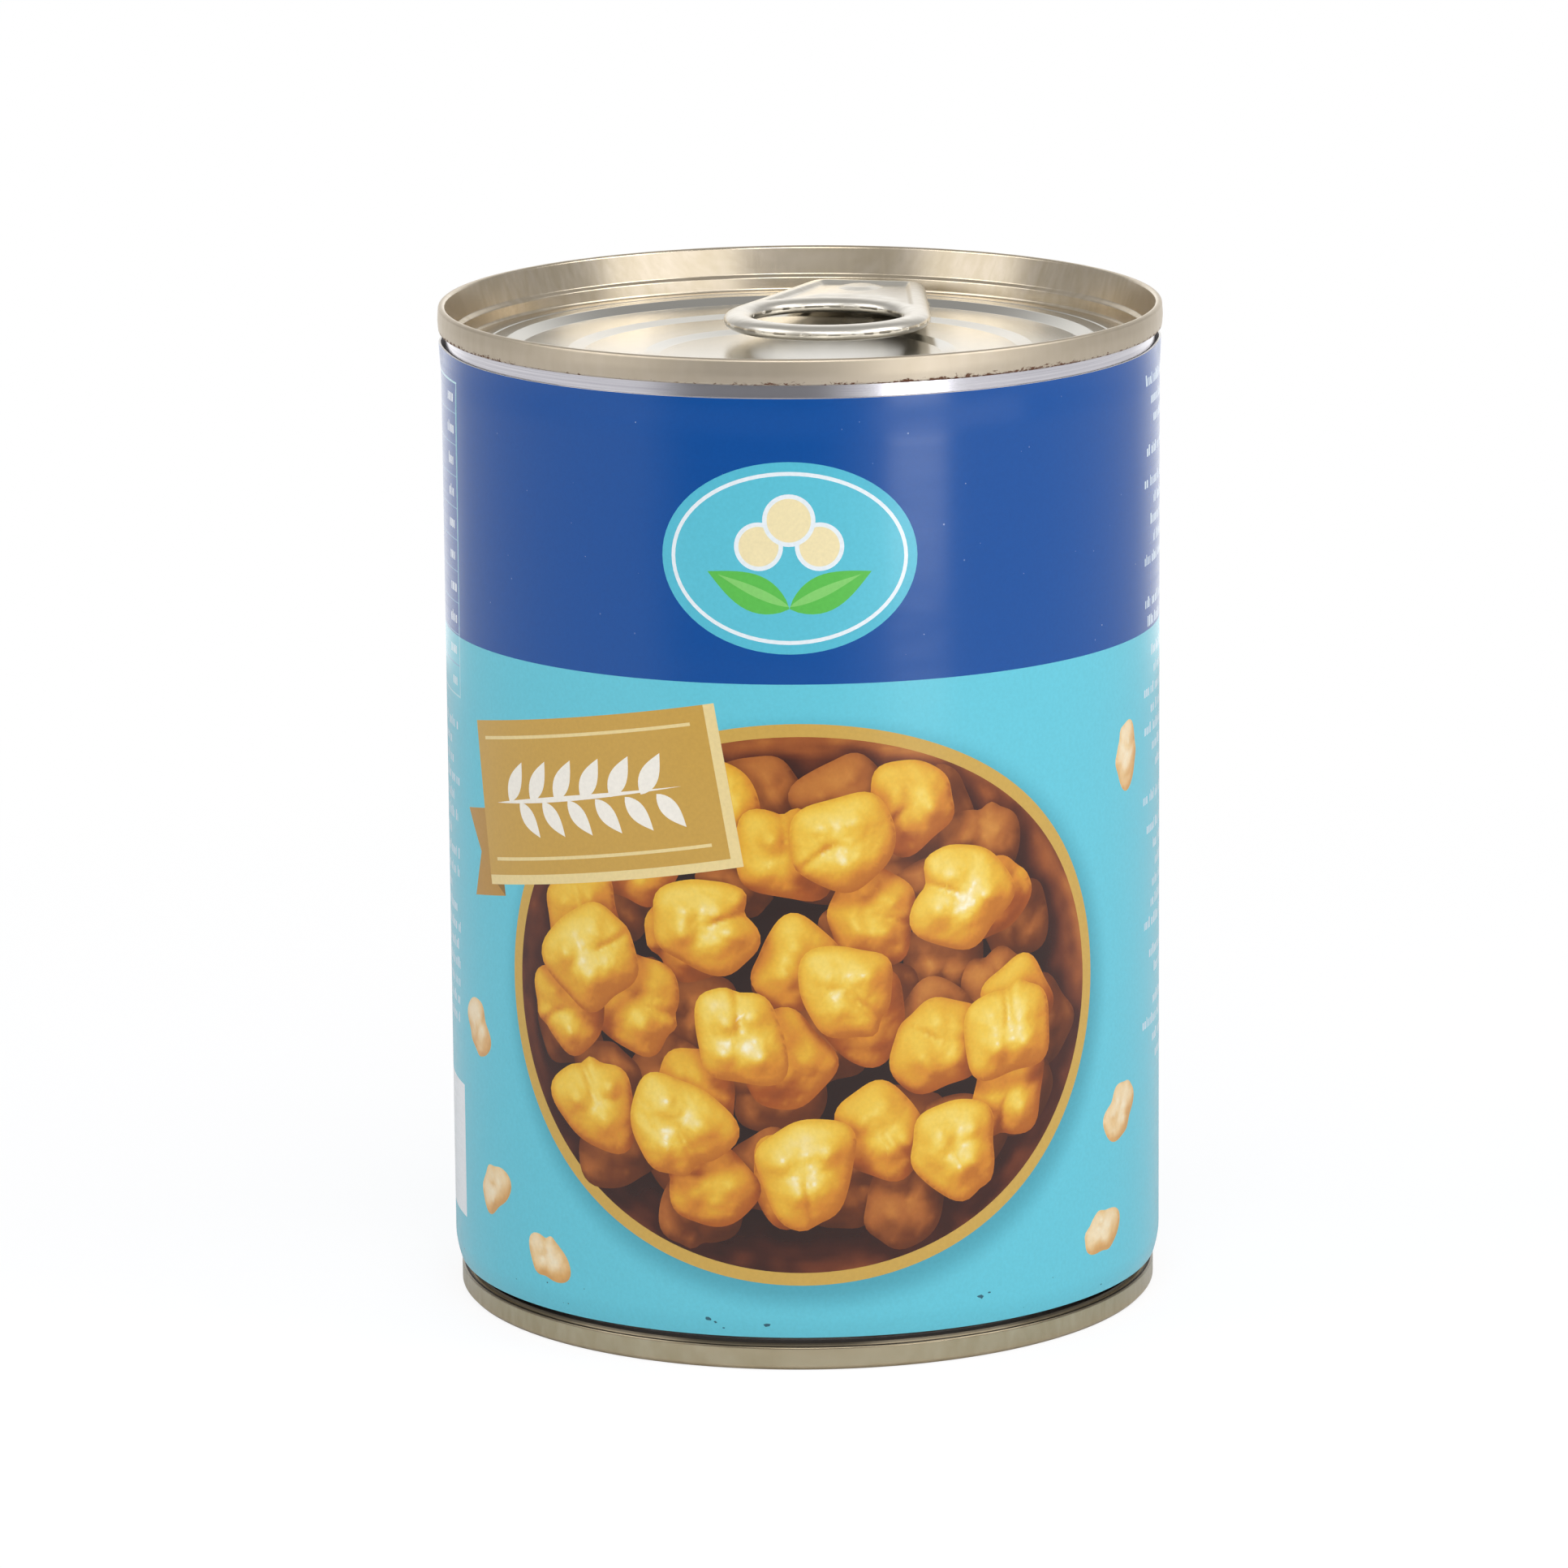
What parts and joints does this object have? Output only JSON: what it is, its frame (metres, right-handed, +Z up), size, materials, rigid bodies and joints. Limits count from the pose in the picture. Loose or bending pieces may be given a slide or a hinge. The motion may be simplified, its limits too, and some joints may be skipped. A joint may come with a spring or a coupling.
{
  "type": "can of chickpeas",
  "caption": "Shut tin can of cooked chickpeas with a ring-pull lid, a stackable necked base and a wrap-round paper label.",
  "frame": {"origin": "on the floor, at the centre of the can's axis", "axes": "+Z up along the can's axis; the label's picture and the finger ring of the tab face -Y, and the tab's nose points to +Y"},
  "size_m": [0.0762, 0.0762, 0.106],
  "materials": {
    "bright_tinplate": "bright tinplate wall, drawn along the can",
    "lacquered_tinplate": "tinplate under a thin champagne lacquer, satin",
    "coated_paper": "printed coated paper, dark blue above and turquoise below",
    "tab_steel": "lacquered steel strip, rolled edge, semi-gloss"
  },
  "bodies": {
    "root": {"can_body": "bright_tinplate", "lid": "lacquered_tinplate", "base_end": "lacquered_tinplate", "paper_label": "coated_paper", "pull_tab": "tab_steel", "rivet": "tab_steel"}
  },
  "joints": []
}
